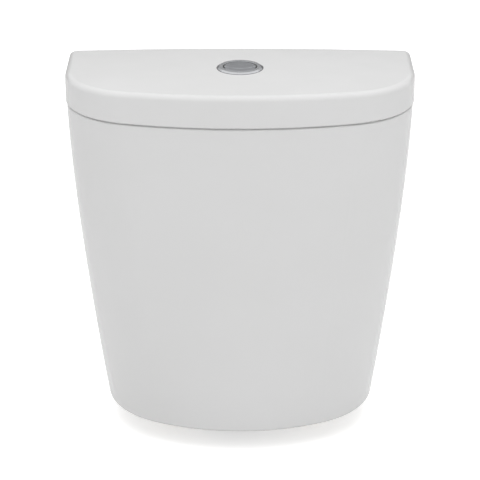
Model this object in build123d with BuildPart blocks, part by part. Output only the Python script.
from build123d import *
import math
import os

os.makedirs("parts", exist_ok=True)

# A close-coupled toilet cistern: a tapered ceramic tank and its lid, a two-part push button, a
# flush valve, a float-operated fill valve and the fixings that hold it to the pan.
# Lengths are in millimetres. The origin lies on the axis of the flush outlet, level with the foot
# of the tank. X runs to the right, Y to the wall and Z up.

# Fits that every piece shares
overrun = 5
running_fit = 0.05
moving_gap = 0.3

# Tank, from the wall forwards
outlet_to_wall = 74
tank_height = 361
rim_half_width = 183.8
rim_depth = 171
rim_side = 72
rim_bow_r = 451
base_half_width = 148.3
base_depth = 142.5
base_side = 30.5
base_bow_r = 206
taper_bend_share = 1.37
taper_level_shares = (0, 0.25, 0.5, 0.75, 1)
rear_corner_r = 9
tank_wall = 11
inner_corner_r = 4
foot_rim = 12
foot_recess = 22
tank_floor = 11
foot_round = 4.5
back_trim = 0.5
rim_round = 1.5
outlet_hole_r = 32
screw_spacing = 180
screw_below_rim = 61
screw_hole_r = 4.5

# Lid
lid_overhang = 1.2
lid_wall_gap = 1
lid_height = 36
crown_bow_r = 6800
lid_skirt = 18
lid_deck = 11
lid_top_round = 6
lid_edge_round = 1.2
seam_height = 1.8
seam_depth = 4.5
rib_depth = 8
rib_clearance = 2

# Push button: bezel, sleeve, gasket and nut
barrel_r = 20
barrel_wall = 2
barrel_in_hole = 1
barrel_reach = 27
barrel_floor = 2
barrel_flange_r = 22
barrel_flange = 1
bezel_foot_r = 24.8
bezel_top_r = 22
bezel_height = 1.8
bezel_opening_r = 18
bezel_round = 0.5
bezel_inner_round = 0.3
gasket_r = 27
gasket_height = 2
nut_r = 27
nut_height = 9
nut_lug_count = 8
nut_lug = 3
nut_lug_width = 6

# Push button: the two caps, their rods and their springs
cap_r = 17.2
cap_below_bezel = 0.2
cap_plate = 3
cap_height = 9
cap_wall = 1.2
cap_round = 0.8
cap_corner_r = 1.2
cap_gap = 0.6
split_bow_r = 22
split_front = 8
press_travel = 6
rod_r = 2
rod_foot_r = 3
rod_foot = 3
rod_socket_wall = 1.2
rod_socket = 6
rod_hole_gap = 0.5
full_rod_x = -9
half_rod_x = 9
full_spring_x = 5
full_spring_y = 6
full_spring_r = 4
full_spring_wire_r = 0.5
half_spring_x = -3
half_spring_y = -12
half_spring_r = 2.2
half_spring_wire_r = 0.35
spring_turn_count = 8
quarters_per_turn_count = 4
spring_sample_count = 400

# Flush valve: outlet, seat and cage
outlet_bore_r = 25
outlet_tail_r = 29.5
outlet_tail_drop = 12
valve_flange_r = 44
valve_flange = 4
washer_height = 3
seat_rise = 10
seat_wall = 3
cage_r = 37
cage_height = 62
cage_ring = 6
cage_ring_wall = 7
post_count = 6
post_width = 8
post_depth = 5
valve_nut_r = 42
valve_nut = 10
valve_nut_lug_count = 6
valve_nut_lug_width = 9
coupling_r = 45
coupling_height = 20
coupling_round = 3

# Flush valve: tower
tower_plate_r = 40
tower_plate = 4
sleeve_r = 18
sleeve_bore_r = 14
sleeve_length = 109
sleeve_window_width = 8
sleeve_window_height = 26
sleeve_window_count = 4
head_plate_r = 26
head_plate = 5
bracket_gap = 17
bracket_wall = 3
bracket_width = 14
pivot_above_head = 32
pivot_behind_outlet = 8
pin_r = 2.5
pin_head_r = 4
pin_head = 1.5
bracket_round = 6.5
guide_ear_r = 6
low_guide_above_plate = 12
low_guide = 5

# Flush valve: overflow tube and what it lifts
tube_r = 13
tube_wall = 2
tube_above_head = 10
seal_r = 30
seal_height = 3.5
retainer_r = 26
retainer_height = 4.5
retainer_hub_r = 16
retainer_hub = 4
flush_float_r = 29
flush_float_height = 30
flush_float_wall = 2
yoke_collar_r = 16
yoke_collar = 8
yoke_arm_width = 8
yoke_arm = 6
yoke_upright = 4
yoke_lip = 4

# Flush valve: rockers and the half-flush slider
pad_lead = 0.1
full_pad_reach = 10
full_lift_reach = 20
half_pad_reach = 19
half_lift_reach = 26
roller_r = 3
rocker_hub_r = 4.5
rocker_width = 8
rocker_arm_root_r = 3.2
rocker_arm_tip_r = 1.8
slider_r = 2.5
slider_lip = 4
slider_lip_width = 8
slider_tail = 10
half_float_r = 9
half_float_height = 35
half_float_above_guide = 27
half_float_round = 2

# Fill valve: inlet tail and stem
fill_from_side = 38.3
fill_behind_outlet = 20
inlet_r = 10.48
inlet_drop = 16
inlet_length = 24
inlet_shank_r = 10.2
fill_hole_r = 12
fill_flange_r = 18
fill_flange = 4
fill_nut_r = 16
fill_nut = 8
fill_nut_side_count = 6
stem_r = 10
stem_bore_r = 6
stem_top = 258
filter_r = 5.8
filter_length = 24
filter_wall = 1.2
filter_cap = 3
filter_slot_width = 1.5
filter_slot_count = 6

# Fill valve: head and lever
head_r = 17
head_length = 32
head_socket = 12
head_passage_r = 4
chamber_r = 14
chamber_depth = 6
diaphragm = 3
port_r = 3
port_count = 4
cap_ring_wall = 2.5
cap_ring_overlap = 6
cap_ring_top = 4
ear_wall = 2.5
ear_width = 10
pivot_above_cap = 12
lever_pivot_offset = 4
lever_pin_r = 1.5
lever_hub_r = 4
lever_reach = 33.5
lever_tine_width = 3
lever_slot_half_width = 2
lever_end_r = 2.5
lever_arm_root_r = 3
lever_arm_tip_r = 1.5
lever_tail = 8
lever_nub_r = 2
lever_nub = 8
float_travel = 16

# Fill valve: float
float_collar_r = 14
float_collar = 4.7
float_level = 150
fill_float_r = 26
fill_float_height = 50
fill_float_wall = 2
float_sleeve_gap = 0.6
float_ear_height = 6
float_ear_width = 10
float_ear_reach = 7
link_r = 1.5
link_collar_r = 3.5
link_collar = 2
link_tail = 8
clip_length = 9
clip_width = 8
clip_height = 7
float_round = 3

# Fixings to the pan: bolts between the flanges of the outlet and the inlet, one on each side
bolt_room_share = 31 / 48
bolt_r = 4
bolt_shank_r = 3.8
bolt_hole_r = 6
bolt_head_r = 10
bolt_head = 6
bolt_head_round = 2.5
bolt_drop = 24
bolt_slot_width = 2
bolt_slot_depth = 2
bolt_washer_r = 13
flat_washer_r = 12
flat_washer = 1.5
lower_washer = 2
pan_nut_r = 7.5
pan_nut = 6.5
pan_nut_side_count = 6

# Levels and places that follow from the sizes above
floor_top = foot_recess + tank_floor
lid_top = tank_height + lid_height
deck_underside = lid_top - lid_deck
barrel_foot = lid_top - barrel_reach
bezel_top = lid_top + bezel_height
cap_top = bezel_top - cap_below_bezel
cap_underside = cap_top - cap_plate
spring_seat = barrel_foot + barrel_floor

flange_foot = floor_top + washer_height
flange_top = flange_foot + valve_flange
seat_level = flange_top + seat_rise
cage_top = seat_level + cage_height
tower_foot_top = cage_top + tower_plate
head_foot = cage_top + tower_plate + sleeve_length
head_top = head_foot + head_plate
pivot_y = pivot_behind_outlet
pivot_z = head_top + pivot_above_head
tube_top = head_top + tube_above_head
pin_half_length = bracket_gap + bracket_wall

pad_drop = press_travel + pad_lead
full_swing = 2 * math.asin(pad_drop / 2 / full_pad_reach)
half_swing = 2 * math.asin(pad_drop / 2 / half_pad_reach)
tube_lift = 2 * full_lift_reach * math.sin(full_swing / 2)
slider_lift = 2 * half_lift_reach * math.sin(half_swing / 2)
rod_end = pivot_z + pad_drop / 2 + roller_r + moving_gap
full_rod_y = pivot_y - full_pad_reach
half_rod_y = pivot_y - half_pad_reach

fill_x = fill_from_side - base_half_width
fill_y = fill_behind_outlet
fill_flange_foot = floor_top + washer_height
fill_flange_top = fill_flange_foot + fill_flange
head_low = stem_top - head_socket
head_high = head_low + head_length
chamber_floor = head_high - chamber_depth
cap_ring_high = head_high + cap_ring_top
lever_x = fill_x - lever_pivot_offset
lever_z = cap_ring_high + pivot_above_cap
lever_swing = 2 * math.asin(float_travel / 2 / lever_reach)
lever_low = lever_z - float_travel / 2
link_x = lever_x + lever_reach * (1 + math.cos(lever_swing / 2)) / 2
float_top = float_level + fill_float_height

bolt_room = -fill_x - fill_flange_r - valve_flange_r
bolt_x = valve_flange_r + bolt_room * bolt_room_share
pan_bolt_places = ((-bolt_x, 0), (bolt_x, 0))

print("full rocker turns", round(full_swing, 5), "rad, tube lifts", round(tube_lift, 4), "mm")
print("half rocker turns", round(half_swing, 5), "rad, slider lifts", round(slider_lift, 4), "mm")
print("fill lever turns", round(lever_swing, 5), "rad at", round(lever_x, 3), round(lever_z, 3))


def cistern_outline(half_width, depth, side, bow_r, inset, back_y):
    """Plan of the cistern: straight back and sides, and round corners into a bowed front.

    The corner radius is the one that meets the side and the front bow without a kink.
    """
    half_width = half_width - inset
    bow_r = bow_r - inset
    corner_y = outlet_to_wall - side
    front_y = outlet_to_wall - depth + inset
    run = corner_y - front_y
    corner_r = (2 * run * bow_r - run**2 - half_width**2) / (2 * (bow_r - half_width))
    bow_y = front_y + bow_r
    reach_share = bow_r / (bow_r - corner_r)
    meet_x = (half_width - corner_r) * reach_share
    meet_y = bow_y + (corner_y - bow_y) * reach_share
    with BuildSketch() as outline:
        with BuildLine():
            Line((half_width, back_y), (half_width, corner_y))
            TangentArc((half_width, corner_y), (meet_x, meet_y), tangent=(0, -1))
            ThreePointArc((meet_x, meet_y), (0, front_y), (-meet_x, meet_y))
            TangentArc((-half_width, corner_y), (-meet_x, meet_y), tangent=(0, -1))
            Line((-half_width, corner_y), (-half_width, back_y))
            Line((-half_width, back_y), (half_width, back_y))
        make_face()
    return outline.sketch


def tank_outline(level, inset, back_y):
    """Plan of the tank at a height, narrower towards the foot along one power curve."""
    bend_share = ((tank_height - level) / tank_height) ** taper_bend_share
    half_width = rim_half_width + (base_half_width - rim_half_width) * bend_share
    depth = rim_depth + (base_depth - rim_depth) * bend_share
    side = rim_side + (base_side - rim_side) * bend_share
    bow_r = rim_bow_r + (base_bow_r - rim_bow_r) * bend_share
    return cistern_outline(half_width, depth, side, bow_r, inset, back_y)


def ring(outer_r, inner_r, *places):
    """Draw a ring at each place of the sketch that is open, at its centre by default."""
    with Locations(*(places or ((0, 0),))):
        Circle(outer_r)
        Circle(inner_r, mode=Mode.SUBTRACT)


def arm(start, start_r, end, end_r):
    """Draw an arm that narrows from one round end to the other."""
    along = (Vector(*end) - Vector(*start)).normalized()
    across = Vector(-along.Y, along.X)
    corners = [
        Vector(*start) + across * start_r,
        Vector(*start) - across * start_r,
        Vector(*end) - across * end_r,
        Vector(*end) + across * end_r,
    ]
    Polygon(*[(corner.X, corner.Y) for corner in corners], align=None)
    with Locations(start):
        Circle(start_r)
    with Locations(end):
        Circle(end_r)


def coil_path(centre_x, centre_y, foot, top, radius):
    """Centre line of a spring: a helix of quarter turns, each made of two tangent arcs."""
    quarter_count = spring_turn_count * quarters_per_turn_count
    angle_step = 2 * math.pi / quarters_per_turn_count
    rise = (top - foot) / quarter_count

    def station(index):
        angle = index * angle_step
        place = Vector(
            centre_x + radius * math.cos(angle),
            centre_y + radius * math.sin(angle),
            foot + index * rise,
        )
        heading = Vector(
            -radius * math.sin(angle),
            radius * math.cos(angle),
            rise / angle_step,
        )
        return place, heading.normalized()

    with BuildLine() as path:
        for index in range(quarter_count):
            start, start_heading = station(index)
            end, end_heading = station(index + 1)
            chord = end - start
            both = start_heading + end_heading
            square = 2 * (1 - start_heading.dot(end_heading))
            lean = chord.dot(both)
            reach = chord.dot(chord) / (lean + math.sqrt(lean**2 + square * chord.dot(chord)))
            first = start + start_heading * reach
            second = end - end_heading * reach
            joint = (first + second) / 2
            TangentArc(start, joint, tangent=start_heading)
            TangentArc(joint, end, tangent=(second - first).normalized())
    return path.wire()


# Tank: one tapered shell with a flat back, a recessed floor and a plain rim
with BuildPart() as tank:
    for level_share in taper_level_shares:
        level = tank_height * level_share
        with BuildSketch(Plane.XY.offset(level)) as shell:
            add(tank_outline(level, 0, outlet_to_wall + back_trim))
            fillet(shell.vertices().group_by(Axis.Y)[-1], rear_corner_r)
    loft()
    split(bisect_by=Plane.XZ.offset(-outlet_to_wall))
    fillet(tank.faces().sort_by(Axis.Z)[0].edges(), foot_round)
    fillet(tank.faces().sort_by(Axis.Z)[-1].edges(), rim_round)
    for level_share in taper_level_shares:
        level = floor_top + (tank_height - floor_top) * level_share
        with BuildSketch(Plane.XY.offset(level)) as hollow:
            add(tank_outline(level, tank_wall, outlet_to_wall - tank_wall))
            fillet(hollow.vertices().group_by(Axis.Y)[-1], inner_corner_r)
    loft(mode=Mode.SUBTRACT)
    with BuildSketch() as recess:
        add(tank_outline(0, foot_rim, outlet_to_wall - foot_rim))
        fillet(recess.vertices().group_by(Axis.Y)[-1], inner_corner_r)
    extrude(amount=foot_recess, mode=Mode.SUBTRACT)
    with BuildSketch(Plane.XY.offset(foot_recess)):
        Circle(outlet_hole_r)
        with Locations(*pan_bolt_places):
            Circle(bolt_hole_r)
        with Locations((fill_x, fill_y)):
            Circle(fill_hole_r)
    extrude(amount=tank_floor, mode=Mode.SUBTRACT)
    with BuildSketch(Plane.XZ.offset(-outlet_to_wall)):
        screw_level = tank_height - screw_below_rim
        with Locations((-screw_spacing / 2, screw_level), (screw_spacing / 2, screw_level)):
            Circle(screw_hole_r)
    extrude(amount=tank_wall, mode=Mode.SUBTRACT)
tank.part.label = "tank"
export_step(tank.part, "parts/tank.step")

# Lid: a crowned deck and a deep skirt, with a rib that drops inside the rim
lid_back_y = outlet_to_wall - lid_wall_gap
lid_edge_x = rim_half_width + lid_overhang
with BuildPart() as lid:
    with BuildSketch(Plane.XY.offset(tank_height)) as plan:
        add(tank_outline(tank_height, -lid_overhang, lid_back_y))
        fillet(plan.vertices().group_by(Axis.Y)[-1], rear_corner_r)
    extrude(amount=lid_height)
    with BuildSketch(Plane.XZ.offset(-lid_back_y - overrun)):
        with BuildLine():
            crown_x = lid_edge_x + overrun
            shoulder = lid_top - crown_bow_r + math.sqrt(crown_bow_r**2 - crown_x**2)
            Line((-crown_x, tank_height - overrun), (crown_x, tank_height - overrun))
            Line((crown_x, tank_height - overrun), (crown_x, shoulder))
            ThreePointArc((crown_x, shoulder), (0, lid_top), (-crown_x, shoulder))
            Line((-crown_x, shoulder), (-crown_x, tank_height - overrun))
        make_face()
    extrude(amount=rim_depth + lid_overhang + 2 * overrun, mode=Mode.INTERSECT)
    fillet(lid.faces().sort_by(Axis.Z)[-1].edges(), lid_top_round)
    with BuildSketch(Plane.XY.offset(tank_height)) as seam:
        add(tank_outline(tank_height, -lid_overhang - overrun, lid_back_y + overrun))
        add(
            tank_outline(tank_height, seam_depth - lid_overhang, lid_back_y - seam_depth),
            mode=Mode.SUBTRACT,
        )
    extrude(amount=seam_height, mode=Mode.SUBTRACT)
    lower_face = lid.faces().filter_by(Axis.Z).group_by(Axis.Z)[1].face()
    fillet(lower_face.outer_wire().edges(), lid_edge_round)
    with BuildSketch(Plane.XY.offset(tank_height - rib_depth)) as rib:
        rib_back_y = outlet_to_wall - tank_wall - rib_clearance
        add(tank_outline(tank_height, tank_wall + rib_clearance, rib_back_y))
        fillet(rib.vertices().group_by(Axis.Y)[-1], inner_corner_r)
    extrude(amount=rib_depth)
    with BuildSketch(Plane.XY.offset(tank_height - rib_depth)) as cavity:
        add(tank_outline(tank_height, lid_skirt - lid_overhang, lid_back_y - lid_skirt))
        fillet(cavity.vertices().group_by(Axis.Y)[-1], inner_corner_r)
    extrude(amount=rib_depth + lid_height - lid_deck, mode=Mode.SUBTRACT)
    with BuildSketch(Plane.XY.offset(deck_underside)):
        Circle(barrel_r + barrel_in_hole)
    extrude(amount=lid_deck + overrun, mode=Mode.SUBTRACT)
lid.part.label = "lid"
export_step(lid.part, "parts/lid.step")

# Bezel: a tapered ring that covers the flange of the sleeve
with BuildPart() as bezel:
    with BuildSketch(Plane.XY.offset(lid_top)):
        Circle(bezel_foot_r)
    with BuildSketch(Plane.XY.offset(bezel_top)):
        Circle(bezel_top_r)
    loft()
    fillet(bezel.faces().sort_by(Axis.Z)[-1].edges(), bezel_round)
    with BuildSketch(Plane.XY.offset(lid_top)):
        Circle(bezel_opening_r)
    extrude(amount=bezel_height, mode=Mode.SUBTRACT)
    fillet(bezel.faces().sort_by(Axis.Z)[-1].inner_wires()[0].edges(), bezel_inner_round)
    with BuildSketch(Plane.XY.offset(lid_top)):
        Circle(barrel_flange_r + running_fit)
    extrude(amount=barrel_flange, mode=Mode.SUBTRACT)
bezel.part.label = "bezel"
export_step(bezel.part, "parts/bezel.step")

# Sleeve: it hangs by its flange and has a floor for the springs and the rods
with BuildPart() as button_barrel:
    with BuildSketch(Plane.XY.offset(barrel_foot)):
        Circle(barrel_r)
    extrude(amount=barrel_reach)
    with BuildSketch(Plane.XY.offset(lid_top)):
        Circle(barrel_flange_r)
    extrude(amount=barrel_flange)
    with BuildSketch(Plane.XY.offset(spring_seat)):
        Circle(barrel_r - barrel_wall)
    extrude(amount=barrel_reach, mode=Mode.SUBTRACT)
    with BuildSketch(Plane.XY.offset(barrel_foot)):
        with Locations((full_rod_x, full_rod_y), (half_rod_x, half_rod_y)):
            Circle(rod_r + rod_hole_gap)
    extrude(amount=barrel_floor, mode=Mode.SUBTRACT)
button_barrel.part.label = "button_barrel"
export_step(button_barrel.part, "parts/button_barrel.step")

# Gasket between the deck and the nut
with BuildPart() as bezel_gasket:
    with BuildSketch(Plane.XY.offset(deck_underside - gasket_height)):
        ring(gasket_r, barrel_r + running_fit)
    extrude(amount=gasket_height)
bezel_gasket.part.label = "bezel_gasket"
export_step(bezel_gasket.part, "parts/bezel_gasket.step")

# Nut with finger lugs
with BuildPart() as bezel_nut:
    with BuildSketch(Plane.XY.offset(deck_underside - gasket_height - nut_height)):
        Circle(nut_r)
        with PolarLocations(nut_r, nut_lug_count):
            Rectangle(2 * nut_lug, nut_lug_width)
        Circle(barrel_r + running_fit, mode=Mode.SUBTRACT)
    extrude(amount=nut_height)
bezel_nut.part.label = "bezel_nut"
export_step(bezel_nut.part, "parts/bezel_nut.step")


def cap_outline(front, shrink):
    """Plan of one button cap: the disc in front of or behind the split, less a margin."""
    bow_y = split_bow_r - split_front
    split_r = split_bow_r + (cap_gap / 2 + shrink if front else -cap_gap / 2 - shrink)
    disc_r = cap_r - shrink
    corner_y = (disc_r**2 - split_r**2 + bow_y**2) / (2 * bow_y)
    corner_x = math.sqrt(disc_r**2 - corner_y**2)
    with BuildSketch() as outline:
        with BuildLine():
            far_y = -disc_r if front else disc_r
            ThreePointArc((-corner_x, corner_y), (0, far_y), (corner_x, corner_y))
            ThreePointArc((corner_x, corner_y), (0, bow_y - split_r), (-corner_x, corner_y))
        make_face()
    return outline.sketch


def button_cap(front, rod_x, rod_y):
    """One button: a plate with a skirt, and a socket under it for its rod."""
    skirt_foot = cap_top - cap_height
    with BuildPart() as cap:
        with BuildSketch(Plane.XY.offset(skirt_foot)) as plan:
            add(cap_outline(front, 0))
            fillet(plan.vertices(), cap_corner_r)
        extrude(amount=cap_height)
        fillet(cap.faces().sort_by(Axis.Z)[-1].edges(), cap_round)
        with BuildSketch(Plane.XY.offset(skirt_foot)):
            add(cap_outline(front, cap_wall))
        extrude(amount=cap_height - cap_plate, mode=Mode.SUBTRACT)
        with BuildSketch(Plane.XY.offset(cap_underside - rod_socket)):
            with Locations((rod_x, rod_y)):
                Circle(rod_r + running_fit + rod_socket_wall)
        extrude(amount=rod_socket)
        with BuildSketch(Plane.XY.offset(cap_underside - rod_socket)):
            with Locations((rod_x, rod_y)):
                Circle(rod_r + running_fit)
        extrude(amount=rod_socket, mode=Mode.SUBTRACT)
    return cap.part


def push_rod(rod_x, rod_y):
    """A straight rod from the underside of its cap to a round foot over its rocker."""
    with BuildPart() as rod:
        with BuildSketch(Plane.XY.offset(rod_end)):
            with Locations((rod_x, rod_y)):
                Circle(rod_foot_r)
        extrude(amount=rod_foot)
        with BuildSketch(Plane.XY.offset(rod_end)):
            with Locations((rod_x, rod_y)):
                Circle(rod_r)
        extrude(amount=cap_underside - rod_end)
    return rod.part


def cap_spring(centre_x, centre_y, radius, wire_r):
    """A coil spring from the floor of the sleeve to the underside of a cap."""
    foot = spring_seat + wire_r + running_fit
    top = cap_underside - wire_r - running_fit
    path = coil_path(centre_x, centre_y, foot, top, radius)
    with BuildPart() as spring:
        with BuildSketch(Plane(origin=path @ 0, z_dir=path % 0)):
            Circle(wire_r)
        sweep(path=path)
    points = [path @ (index / spring_sample_count) for index in range(spring_sample_count)]
    turn = spring_sample_count // spring_turn_count
    gap = min(
        (points[low] - points[high]).length
        for low in range(spring_sample_count)
        for high in range(low + turn // 2, spring_sample_count)
    )
    print("spring turns lie", round(gap - 2 * wire_r, 2), "mm apart at the least")
    return spring.part


# The rear cap gives the full flush and the front crescent the half flush
with BuildPart() as full_button:
    add(button_cap(False, full_rod_x, full_rod_y))
full_button.part.label = "full_button"
export_step(full_button.part, "parts/full_button.step")

with BuildPart() as half_button:
    add(button_cap(True, half_rod_x, half_rod_y))
half_button.part.label = "half_button"
export_step(half_button.part, "parts/half_button.step")

with BuildPart() as full_rod:
    add(push_rod(full_rod_x, full_rod_y))
full_rod.part.label = "full_rod"
export_step(full_rod.part, "parts/full_rod.step")

with BuildPart() as half_rod:
    add(push_rod(half_rod_x, half_rod_y))
half_rod.part.label = "half_rod"
export_step(half_rod.part, "parts/half_rod.step")

with BuildPart() as full_spring:
    add(cap_spring(full_spring_x, full_spring_y, full_spring_r, full_spring_wire_r))
full_spring.part.label = "full_spring"
export_step(full_spring.part, "parts/full_spring.step")

with BuildPart() as half_spring:
    add(cap_spring(half_spring_x, half_spring_y, half_spring_r, half_spring_wire_r))
half_spring.part.label = "half_spring"
export_step(half_spring.part, "parts/half_spring.step")

# Flush outlet: threaded tail, flange, seat and the posts of the cage
with BuildPart() as valve_base:
    with BuildSketch(Plane.XY.offset(-outlet_tail_drop)):
        Circle(outlet_tail_r)
    extrude(amount=outlet_tail_drop + flange_foot)
    with BuildSketch(Plane.XY.offset(flange_foot)):
        Circle(valve_flange_r)
    extrude(amount=valve_flange)
    with BuildSketch(Plane.XY.offset(flange_top)):
        Circle(outlet_bore_r + seat_wall)
    extrude(amount=seat_rise)
    with BuildSketch(Plane.XY.offset(flange_top)):
        with PolarLocations(cage_r, post_count):
            Rectangle(post_depth, post_width)
    extrude(amount=cage_top - flange_top)
    with BuildSketch(Plane.XY.offset(cage_top - cage_ring)):
        ring(cage_r + cage_ring_wall / 2, cage_r - cage_ring_wall / 2)
    extrude(amount=cage_ring)
    with BuildSketch(Plane.XY.offset(-outlet_tail_drop)):
        Circle(outlet_bore_r)
    extrude(amount=outlet_tail_drop + seat_level, mode=Mode.SUBTRACT)
valve_base.part.label = "valve_base"
export_step(valve_base.part, "parts/valve_base.step")

with BuildPart() as valve_washer:
    with BuildSketch(Plane.XY.offset(floor_top)):
        ring(valve_flange_r - running_fit, outlet_tail_r + running_fit)
    extrude(amount=washer_height)
valve_washer.part.label = "valve_washer"
export_step(valve_washer.part, "parts/valve_washer.step")

with BuildPart() as valve_back_nut:
    with BuildSketch(Plane.XY.offset(foot_recess - valve_nut)):
        Circle(valve_nut_r)
        with PolarLocations(valve_nut_r, valve_nut_lug_count):
            Rectangle(2 * nut_lug, valve_nut_lug_width)
        Circle(outlet_tail_r + running_fit, mode=Mode.SUBTRACT)
    extrude(amount=valve_nut)
valve_back_nut.part.label = "valve_back_nut"
export_step(valve_back_nut.part, "parts/valve_back_nut.step")

# The thick soft ring that seals the cistern on the pan
with BuildPart() as coupling_seal:
    with BuildSketch(Plane.XY.offset(foot_recess - valve_nut - coupling_height)):
        ring(coupling_r, outlet_tail_r + running_fit)
    extrude(amount=coupling_height)
    fillet(coupling_seal.faces().filter_by(Axis.Z).edges().group_by(SortBy.LENGTH)[-1], coupling_round)
coupling_seal.part.label = "coupling_seal"
export_step(coupling_seal.part, "parts/coupling_seal.step")

# Tower: foot plate on the cage, sleeve round the overflow tube, head plate and brackets
slider_x = half_rod_x
slider_y = pivot_y + half_lift_reach + roller_r + slider_r + 2 * rod_hole_gap
with BuildPart() as valve_tower:
    with BuildSketch(Plane.XY.offset(cage_top)):
        Circle(tower_plate_r)
    extrude(amount=tower_plate)
    with BuildSketch(Plane.XY.offset(tower_foot_top)):
        Circle(sleeve_r)
    extrude(amount=sleeve_length)
    with BuildSketch(Plane.XY.offset(head_foot)):
        Circle(head_plate_r)
        arm((0, 0), head_plate_r / 2, (slider_x, slider_y), guide_ear_r)
    extrude(amount=head_plate)
    with BuildSketch(Plane.XY.offset(tower_foot_top + low_guide_above_plate)):
        arm((0, 0), guide_ear_r, (slider_x, slider_y), guide_ear_r)
    extrude(amount=low_guide)
    for bracket_x in (-pin_half_length, bracket_gap):
        with BuildSketch(Plane.YZ.offset(bracket_x)):
            with Locations((pivot_y, (head_top + pivot_z) / 2)):
                Rectangle(bracket_width, pivot_z - head_top)
            with Locations((pivot_y, pivot_z)):
                Circle(bracket_round)
        extrude(amount=bracket_wall)
    with BuildSketch(Plane.YZ.offset(-pin_half_length)):
        with Locations((pivot_y, pivot_z)):
            Circle(pin_r + running_fit)
    extrude(amount=2 * pin_half_length, mode=Mode.SUBTRACT)
    with BuildSketch(Plane.XY.offset(cage_top)):
        Circle(sleeve_bore_r)
        with Locations((slider_x, slider_y)):
            Circle(slider_r + moving_gap)
    extrude(amount=head_top - cage_top, mode=Mode.SUBTRACT)
    for turn in range(sleeve_window_count):
        window_plane = Plane.XZ.rotated((0, 0, turn * 360 / sleeve_window_count))
        window_level = tower_foot_top + low_guide_above_plate + low_guide + sleeve_window_height
        with BuildSketch(window_plane):
            with Locations((0, window_level)):
                SlotCenterToCenter(sleeve_window_height, sleeve_window_width, rotation=90)
        extrude(amount=sleeve_r, mode=Mode.SUBTRACT)
valve_tower.part.label = "valve_tower"
export_step(valve_tower.part, "parts/valve_tower.step")

# Overflow tube, and the seal, retainer and float that it carries
with BuildPart() as overflow_tube:
    with BuildSketch(Plane.XY.offset(seat_level)):
        ring(tube_r, tube_r - tube_wall)
    extrude(amount=tube_top - seat_level)
overflow_tube.part.label = "overflow_tube"
export_step(overflow_tube.part, "parts/overflow_tube.step")

with BuildPart() as flush_seal:
    with BuildSketch(Plane.XY.offset(seat_level)):
        ring(seal_r, tube_r + running_fit)
    extrude(amount=seal_height)
flush_seal.part.label = "flush_seal"
export_step(flush_seal.part, "parts/flush_seal.step")

retainer_foot = seat_level + seal_height
with BuildPart() as seal_retainer:
    with BuildSketch(Plane.XY.offset(retainer_foot)):
        ring(retainer_r, tube_r + running_fit)
    extrude(amount=retainer_height)
    with BuildSketch(Plane.XY.offset(retainer_foot + retainer_height)):
        ring(retainer_hub_r, tube_r + running_fit)
    extrude(amount=retainer_hub)
seal_retainer.part.label = "seal_retainer"
export_step(seal_retainer.part, "parts/seal_retainer.step")

# An inverted cup with a sleeve round the tube
flush_float_foot = retainer_foot + retainer_height + retainer_hub
with BuildPart() as flush_float:
    with BuildSketch(Plane.XY.offset(flush_float_foot)):
        ring(flush_float_r, tube_r + running_fit)
    extrude(amount=flush_float_height)
    with BuildSketch(Plane.XY.offset(flush_float_foot)):
        ring(flush_float_r - flush_float_wall, retainer_hub_r)
    extrude(amount=flush_float_height - flush_float_wall, mode=Mode.SUBTRACT)
flush_float.part.label = "flush_float"
export_step(flush_float.part, "parts/flush_float.step")

# Hook on the tube: a collar, an arm to the rear, an upright and a lip over the rocker's roller
lift_low_z = pivot_z - tube_lift / 2
lift_low_y = pivot_y + full_lift_reach * math.cos(full_swing / 2)
lip_foot = lift_low_z + roller_r + moving_gap
upright_y = pivot_y + full_lift_reach + roller_r + 2 * rod_hole_gap
yoke_foot = tube_top - yoke_collar
with BuildPart() as lift_yoke:
    with BuildSketch(Plane.XY.offset(yoke_foot)):
        Circle(yoke_collar_r)
    extrude(amount=yoke_collar)
    with BuildSketch(Plane.YZ.offset(full_rod_x - yoke_arm_width / 2)):
        with BuildLine():
            Polyline(
                (0, yoke_foot),
                (upright_y + yoke_upright, yoke_foot),
                (upright_y + yoke_upright, lip_foot + yoke_lip),
                (lift_low_y - rod_hole_gap, lip_foot + yoke_lip),
                (lift_low_y - rod_hole_gap, lip_foot),
                (upright_y, lip_foot),
                (upright_y, yoke_foot + yoke_arm),
                (0, yoke_foot + yoke_arm),
                close=True,
            )
        make_face()
    extrude(amount=yoke_arm_width)
    with BuildSketch(Plane.XY.offset(yoke_foot)):
        Circle(tube_r + running_fit)
    extrude(amount=yoke_collar, mode=Mode.SUBTRACT)
lift_yoke.part.label = "lift_yoke"
export_step(lift_yoke.part, "parts/lift_yoke.step")


def rocker(centre_x, pad_reach, lift_reach, swing, hub_foot, hub_length):
    """A two-armed lever on the pin: the rod presses the front roller, the rear one lifts."""
    pad = (pivot_y - pad_reach * math.cos(swing / 2), pivot_z + pad_reach * math.sin(swing / 2))
    lift = (pivot_y + lift_reach * math.cos(swing / 2), pivot_z - lift_reach * math.sin(swing / 2))
    with BuildPart() as lever:
        with BuildSketch(Plane.YZ.offset(centre_x - rocker_width / 2)):
            for end in (pad, lift):
                arm((pivot_y, pivot_z), rocker_arm_root_r, end, rocker_arm_tip_r)
                with Locations(end):
                    Circle(roller_r)
        extrude(amount=rocker_width)
        with BuildSketch(Plane.YZ.offset(hub_foot)):
            with Locations((pivot_y, pivot_z)):
                Circle(rocker_hub_r)
        extrude(amount=hub_length)
        with BuildSketch(Plane.YZ.offset(hub_foot)):
            with Locations((pivot_y, pivot_z)):
                Circle(pin_r + running_fit)
        extrude(amount=hub_length, mode=Mode.SUBTRACT)
    return lever.part


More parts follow.
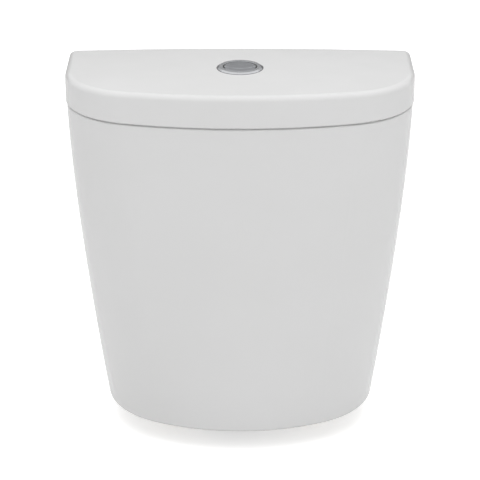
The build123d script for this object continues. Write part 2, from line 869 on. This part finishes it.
hub_length = bracket_gap - 1.5 * moving_gap
with BuildPart() as full_rocker:
    hub_foot = moving_gap - bracket_gap
    add(rocker(full_rod_x, full_pad_reach, full_lift_reach, full_swing, hub_foot, hub_length))
full_rocker.part.label = "full_rocker"
export_step(full_rocker.part, "parts/full_rocker.step")

with BuildPart() as half_rocker:
    hub_foot = moving_gap / 2
    add(rocker(half_rod_x, half_pad_reach, half_lift_reach, half_swing, hub_foot, hub_length))
half_rocker.part.label = "half_rocker"
export_step(half_rocker.part, "parts/half_rocker.step")

with BuildPart() as rocker_pin:
    with BuildSketch(Plane.YZ.offset(-pin_half_length - pin_head)):
        with Locations((pivot_y, pivot_z)):
            Circle(pin_r)
    extrude(amount=2 * pin_half_length + 2 * pin_head)
    for head_x in (-pin_half_length - pin_head, pin_half_length):
        with BuildSketch(Plane.YZ.offset(head_x)):
            with Locations((pivot_y, pivot_z)):
                Circle(pin_head_r)
        extrude(amount=pin_head)
rocker_pin.part.label = "rocker_pin"
export_step(rocker_pin.part, "parts/rocker_pin.step")

# Slider that the half rocker lifts: a rod in two guides with a lip over the roller
half_low_z = pivot_z - slider_lift / 2
half_low_y = pivot_y + half_lift_reach * math.cos(half_swing / 2)
slider_lip_foot = half_low_z + roller_r + moving_gap
slider_foot = tower_foot_top + low_guide_above_plate - slider_tail
with BuildPart() as half_slider:
    with BuildSketch(Plane.XY.offset(slider_foot)):
        with Locations((slider_x, slider_y)):
            Circle(slider_r)
    extrude(amount=slider_lip_foot - slider_foot)
    with BuildSketch(Plane.XY.offset(slider_lip_foot)):
        lip_front = half_low_y - rod_hole_gap
        lip_back = slider_y + slider_r
        with Locations((slider_x, (lip_front + lip_back) / 2)):
            Rectangle(slider_lip_width, lip_back - lip_front)
    extrude(amount=slider_lip)
half_slider.part.label = "half_slider"
export_step(half_slider.part, "parts/half_slider.step")

half_float_foot = tower_foot_top + low_guide_above_plate + low_guide + half_float_above_guide
with BuildPart() as half_float:
    with BuildSketch(Plane.XY.offset(half_float_foot)):
        with Locations((slider_x, slider_y)):
            Circle(half_float_r)
    extrude(amount=half_float_height)
    fillet(half_float.edges().filter_by(GeomType.CIRCLE), half_float_round)
    with BuildSketch(Plane.XY.offset(half_float_foot)):
        with Locations((slider_x, slider_y)):
            Circle(slider_r + running_fit)
    extrude(amount=half_float_height, mode=Mode.SUBTRACT)
half_float.part.label = "half_float"
export_step(half_float.part, "parts/half_float.step")

# Fill valve stem: threaded inlet tail, shank, flange, stem and the collar that the float rests on
with BuildPart() as fill_riser:
    for foot, top, radius in (
        (-inlet_drop, inlet_length - inlet_drop, inlet_r),
        (inlet_length - inlet_drop, fill_flange_foot, inlet_shank_r),
        (fill_flange_foot, fill_flange_top, fill_flange_r),
        (fill_flange_top, stem_top, stem_r),
        (float_level - moving_gap - float_collar, float_level - moving_gap, float_collar_r),
    ):
        with BuildSketch(Plane.XY.offset(foot)):
            with Locations((fill_x, fill_y)):
                Circle(radius)
        extrude(amount=top - foot)
    with BuildSketch(Plane.XY.offset(-inlet_drop)):
        with Locations((fill_x, fill_y)):
            Circle(stem_bore_r)
    extrude(amount=inlet_drop + stem_top, mode=Mode.SUBTRACT)
fill_riser.part.label = "fill_riser"
export_step(fill_riser.part, "parts/fill_riser.step")

with BuildPart() as fill_washer:
    with BuildSketch(Plane.XY.offset(floor_top)):
        ring(fill_flange_r - running_fit, inlet_shank_r + running_fit, (fill_x, fill_y))
    extrude(amount=washer_height)
fill_washer.part.label = "fill_washer"
export_step(fill_washer.part, "parts/fill_washer.step")

with BuildPart() as fill_back_nut:
    with BuildSketch(Plane.XY.offset(foot_recess - fill_nut)):
        with Locations((fill_x, fill_y)):
            RegularPolygon(fill_nut_r, fill_nut_side_count)
            Circle(inlet_shank_r + running_fit, mode=Mode.SUBTRACT)
    extrude(amount=fill_nut)
fill_back_nut.part.label = "fill_nut"
export_step(fill_back_nut.part, "parts/fill_nut.step")

# Strainer in the inlet: a slotted thimble, closed at the top
with BuildPart() as fill_filter:
    with BuildSketch(Plane.XY.offset(-inlet_drop)):
        with Locations((fill_x, fill_y)):
            Circle(filter_r)
    extrude(amount=filter_length)
    with BuildSketch(Plane.XY.offset(-inlet_drop)):
        with Locations((fill_x, fill_y)):
            Circle(filter_r - filter_wall)
    extrude(amount=filter_length - filter_cap, mode=Mode.SUBTRACT)
    with BuildSketch(Plane.XY.offset(filter_cap - inlet_drop)):
        with Locations((fill_x, fill_y)):
            with PolarLocations(filter_r, filter_slot_count):
                Rectangle(filter_r, filter_slot_width)
    extrude(amount=filter_length - 3 * filter_cap, mode=Mode.SUBTRACT)
fill_filter.part.label = "fill_filter"
export_step(fill_filter.part, "parts/fill_filter.step")

# Head: a socket on the stem, a passage up to the diaphragm and ports at the side
with BuildPart() as fill_head:
    for foot, top, radius, mode in (
        (head_low, head_high, head_r, Mode.ADD),
        (head_low, stem_top, stem_r + running_fit, Mode.SUBTRACT),
        (stem_top, chamber_floor, head_passage_r, Mode.SUBTRACT),
        (chamber_floor, head_high, chamber_r, Mode.SUBTRACT),
    ):
        with BuildSketch(Plane.XY.offset(foot)):
            with Locations((fill_x, fill_y)):
                Circle(radius)
        extrude(amount=top - foot, mode=mode)
    for turn in range(port_count):
        port_plane = Plane.XZ.rotated((0, 0, turn * 360 / port_count))
        port_plane.origin = (fill_x, fill_y, (stem_top + chamber_floor) / 2)
        with BuildSketch(port_plane):
            Circle(port_r)
        extrude(amount=head_r, mode=Mode.SUBTRACT)
fill_head.part.label = "fill_head"
export_step(fill_head.part, "parts/fill_head.step")

with BuildPart() as fill_diaphragm:
    with BuildSketch(Plane.XY.offset(chamber_floor)):
        with Locations((fill_x, fill_y)):
            Circle(chamber_r - running_fit)
    extrude(amount=diaphragm)
fill_diaphragm.part.label = "fill_diaphragm"
export_step(fill_diaphragm.part, "parts/fill_diaphragm.step")

# Cap of the head: a skirt over it, a plug that holds the diaphragm and two ears for the lever
ear_inner = lever_slot_half_width + lever_tine_width + moving_gap
cap_ring_r = head_r + running_fit + cap_ring_wall
with BuildPart() as fill_head_ring:
    with BuildSketch(Plane.XY.offset(head_high - cap_ring_overlap)):
        with Locations((fill_x, fill_y)):
            Circle(cap_ring_r)
    extrude(amount=cap_ring_overlap + cap_ring_top)
    with BuildSketch(Plane.XY.offset(head_high - cap_ring_overlap)):
        with Locations((fill_x, fill_y)):
            Circle(head_r + running_fit)
    extrude(amount=cap_ring_overlap, mode=Mode.SUBTRACT)
    with BuildSketch(Plane.XY.offset(chamber_floor + diaphragm)):
        with Locations((fill_x, fill_y)):
            Circle(chamber_r - running_fit)
    extrude(amount=head_high - chamber_floor - diaphragm)
    for ear_back_y in (fill_y + ear_inner + ear_wall, fill_y - ear_inner):
        with BuildSketch(Plane.XZ.offset(-ear_back_y)):
            with Locations((lever_x, (head_high + lever_z) / 2)):
                Rectangle(ear_width, lever_z - head_high)
            with Locations((lever_x, lever_z)):
                Circle(ear_width / 2)
        extrude(amount=ear_wall)
    with BuildSketch(Plane.XZ.offset(-fill_y - ear_inner - ear_wall)):
        with Locations((lever_x, lever_z)):
            Circle(lever_pin_r + running_fit)
    extrude(amount=2 * (ear_inner + ear_wall), mode=Mode.SUBTRACT)
fill_head_ring.part.label = "fill_head_ring"
export_step(fill_head_ring.part, "parts/fill_head_ring.step")

with BuildPart() as lever_pin:
    with BuildSketch(Plane.XZ.offset(-fill_y - ear_inner - ear_wall)):
        with Locations((lever_x, lever_z)):
            Circle(lever_pin_r)
    extrude(amount=2 * (ear_inner + ear_wall))
lever_pin.part.label = "lever_pin"
export_step(lever_pin.part, "parts/lever_pin.step")


def lever_point(along, up):
    """A place on the fill lever, which rests with its long end down."""
    lean = lever_swing / 2
    return (
        lever_x + along * math.cos(lean) + up * math.sin(lean),
        lever_z - along * math.sin(lean) + up * math.cos(lean),
    )


# Lever: two tines with round ends, a hub on the pin and a tail that closes the pilot hole
lever_half_width = lever_slot_half_width + lever_tine_width
with BuildPart() as fill_lever:
    for tine_back_y in (fill_y + lever_half_width, fill_y - lever_slot_half_width):
        with BuildSketch(Plane.XZ.offset(-tine_back_y)):
            arm(
                lever_point(0, 0),
                lever_arm_root_r,
                lever_point(lever_reach, 0),
                lever_arm_tip_r,
            )
            with Locations(lever_point(lever_reach, 0)):
                Circle(lever_end_r)
        extrude(amount=lever_tine_width)
    with BuildSketch(Plane.XZ.offset(-fill_y - lever_half_width)):
        with Locations((lever_x, lever_z)):
            Circle(lever_hub_r)
    extrude(amount=2 * lever_half_width)
    with BuildSketch(Plane.XZ.offset(-fill_y - lever_slot_half_width)):
        arm(lever_point(0, 0), lever_nub_r, lever_point(-lever_tail, 0), lever_nub_r)
        arm(lever_point(-lever_tail, 0), lever_nub_r, lever_point(-lever_tail, -lever_nub), lever_nub_r)
    extrude(amount=2 * lever_slot_half_width)
    with BuildSketch(Plane.XZ.offset(-fill_y - lever_half_width)):
        with Locations((lever_x, lever_z)):
            Circle(lever_pin_r + running_fit)
    extrude(amount=2 * lever_half_width, mode=Mode.SUBTRACT)
fill_lever.part.label = "fill_lever"
export_step(fill_lever.part, "parts/fill_lever.step")

# Float: an inverted cup round the stem, with an ear for its link
with BuildPart() as fill_float:
    with BuildSketch(Plane.XY.offset(float_level)):
        with Locations((fill_x, fill_y)):
            Circle(fill_float_r)
    extrude(amount=fill_float_height)
    fillet(fill_float.faces().sort_by(Axis.Z)[-1].edges(), float_round)
    with BuildSketch(Plane.XY.offset(float_top - float_ear_height)):
        ear_tip = link_x + float_ear_reach
        with Locations(((fill_x + ear_tip) / 2, fill_y)):
            Rectangle(ear_tip - fill_x, float_ear_width)
    extrude(amount=float_ear_height)
    with BuildSketch(Plane.XY.offset(float_level)):
        ring(
            fill_float_r - fill_float_wall,
            stem_r + float_sleeve_gap + fill_float_wall,
            (fill_x, fill_y),
        )
    extrude(amount=fill_float_height - fill_float_wall, mode=Mode.SUBTRACT)
    with BuildSketch(Plane.XY.offset(float_level)):
        with Locations((fill_x, fill_y)):
            Circle(stem_r + float_sleeve_gap)
        with Locations((link_x, fill_y)):
            Circle(link_r + running_fit)
    extrude(amount=fill_float_height, mode=Mode.SUBTRACT)
fill_float.part.label = "fill_float"
export_step(fill_float.part, "parts/fill_float.step")

# Link: a thin rod through the slot of the lever, with a collar under and over its round ends
link_foot = float_top - float_ear_height - link_tail
with BuildPart() as float_link:
    with BuildSketch(Plane.XY.offset(link_foot)):
        with Locations((link_x, fill_y)):
            Circle(link_r)
    extrude(amount=lever_low + lever_end_r + moving_gap + 2 * link_collar - link_foot)
    for collar_foot in (
        lever_low - lever_end_r - moving_gap - link_collar,
        lever_low + lever_end_r + moving_gap,
    ):
        with BuildSketch(Plane.XY.offset(collar_foot)):
            with Locations((link_x, fill_y)):
                Circle(link_collar_r)
        extrude(amount=link_collar)
float_link.part.label = "float_link"
export_step(float_link.part, "parts/float_link.step")

with BuildPart() as float_clip:
    with BuildSketch(Plane.XY.offset(float_top)):
        with Locations((link_x + clip_length / 2 - link_r, fill_y)):
            Rectangle(clip_length, clip_width)
        with Locations((link_x, fill_y)):
            Circle(clip_width / 2)
            Circle(link_r + running_fit, mode=Mode.SUBTRACT)
    extrude(amount=clip_height)
float_clip.part.label = "float_clip"
export_step(float_clip.part, "parts/float_clip.step")


def stacked(foot, height, outer_r, inner_r):
    """The same washer at both pan bolts."""
    with BuildPart() as washers:
        with BuildSketch(Plane.XY.offset(foot)):
            ring(outer_r, inner_r, *pan_bolt_places)
        extrude(amount=height)
    return washers.part


# Pan bolts, heads inside the tank, with their washers and nuts. The shank is slimmer than the
# free end below the nut, and the washers pass over that end.
bolt_bore_r = bolt_r + running_fit
head_seat = floor_top + washer_height + flat_washer
nut_foot = foot_recess - lower_washer - pan_nut
with BuildPart() as pan_bolts:
    with BuildSketch(Plane.XY.offset(head_seat)):
        with Locations(*pan_bolt_places):
            Circle(bolt_head_r)
    extrude(amount=bolt_head)
    fillet(pan_bolts.faces().filter_by(Axis.Z).group_by(Axis.Z)[-1].edges(), bolt_head_round)
    with BuildSketch(Plane.XY.offset(head_seat + bolt_head - bolt_slot_depth)):
        with Locations(*pan_bolt_places):
            Rectangle(2 * bolt_head_r, bolt_slot_width)
    extrude(amount=bolt_slot_depth, mode=Mode.SUBTRACT)
    for foot, top, radius in ((-bolt_drop, nut_foot, bolt_r), (nut_foot, head_seat, bolt_shank_r)):
        with BuildSketch(Plane.XY.offset(foot)):
            with Locations(*pan_bolt_places):
                Circle(radius)
        extrude(amount=top - foot)
pan_bolts.part.label = "pan_bolts"
export_step(pan_bolts.part, "parts/pan_bolts.step")

with BuildPart() as bolt_rubber_washers:
    add(stacked(floor_top, washer_height, bolt_washer_r, bolt_bore_r))
bolt_rubber_washers.part.label = "bolt_rubber_washers"
export_step(bolt_rubber_washers.part, "parts/bolt_rubber_washers.step")

with BuildPart() as bolt_flat_washers:
    add(stacked(floor_top + washer_height, flat_washer, flat_washer_r, bolt_bore_r))
bolt_flat_washers.part.label = "bolt_flat_washers"
export_step(bolt_flat_washers.part, "parts/bolt_flat_washers.step")

with BuildPart() as bolt_lower_washers:
    add(stacked(foot_recess - lower_washer, lower_washer, flat_washer_r, bolt_bore_r))
bolt_lower_washers.part.label = "bolt_lower_washers"
export_step(bolt_lower_washers.part, "parts/bolt_lower_washers.step")

with BuildPart() as bolt_nuts:
    with BuildSketch(Plane.XY.offset(nut_foot)):
        with Locations(*pan_bolt_places):
            RegularPolygon(pan_nut_r, pan_nut_side_count)
            Circle(bolt_shank_r + running_fit, mode=Mode.SUBTRACT)
    extrude(amount=pan_nut)
bolt_nuts.part.label = "bolt_nuts"
export_step(bolt_nuts.part, "parts/bolt_nuts.step")
